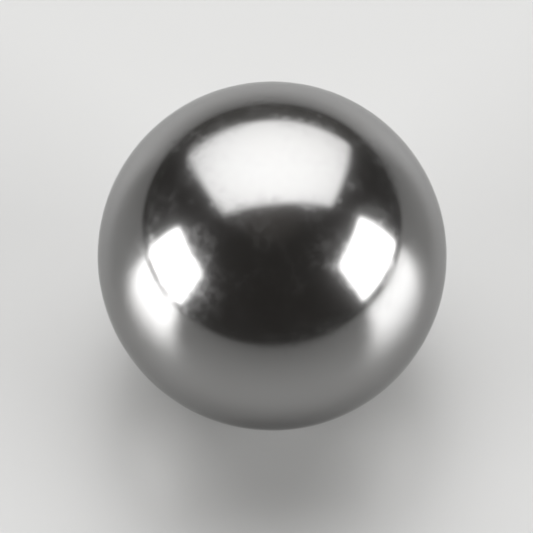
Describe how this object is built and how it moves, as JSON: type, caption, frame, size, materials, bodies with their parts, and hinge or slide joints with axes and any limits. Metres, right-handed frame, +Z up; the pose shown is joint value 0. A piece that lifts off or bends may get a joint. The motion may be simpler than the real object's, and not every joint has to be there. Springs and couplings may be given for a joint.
{
  "type": "steel ball",
  "caption": "Solid polished steel ball, a plain sphere that rolls in a race or sits in a cup, socket, detent or valve seat.",
  "frame": {"origin": "centre of the ball", "axes": "+Z up, away from the seat that the ball sits in; the ball is alike about every axis"},
  "size_m": [0.02, 0.02, 0.02],
  "materials": {
    "polished_steel": "polished"
  },
  "bodies": {
    "root": {"ball": "polished_steel"}
  },
  "joints": []
}
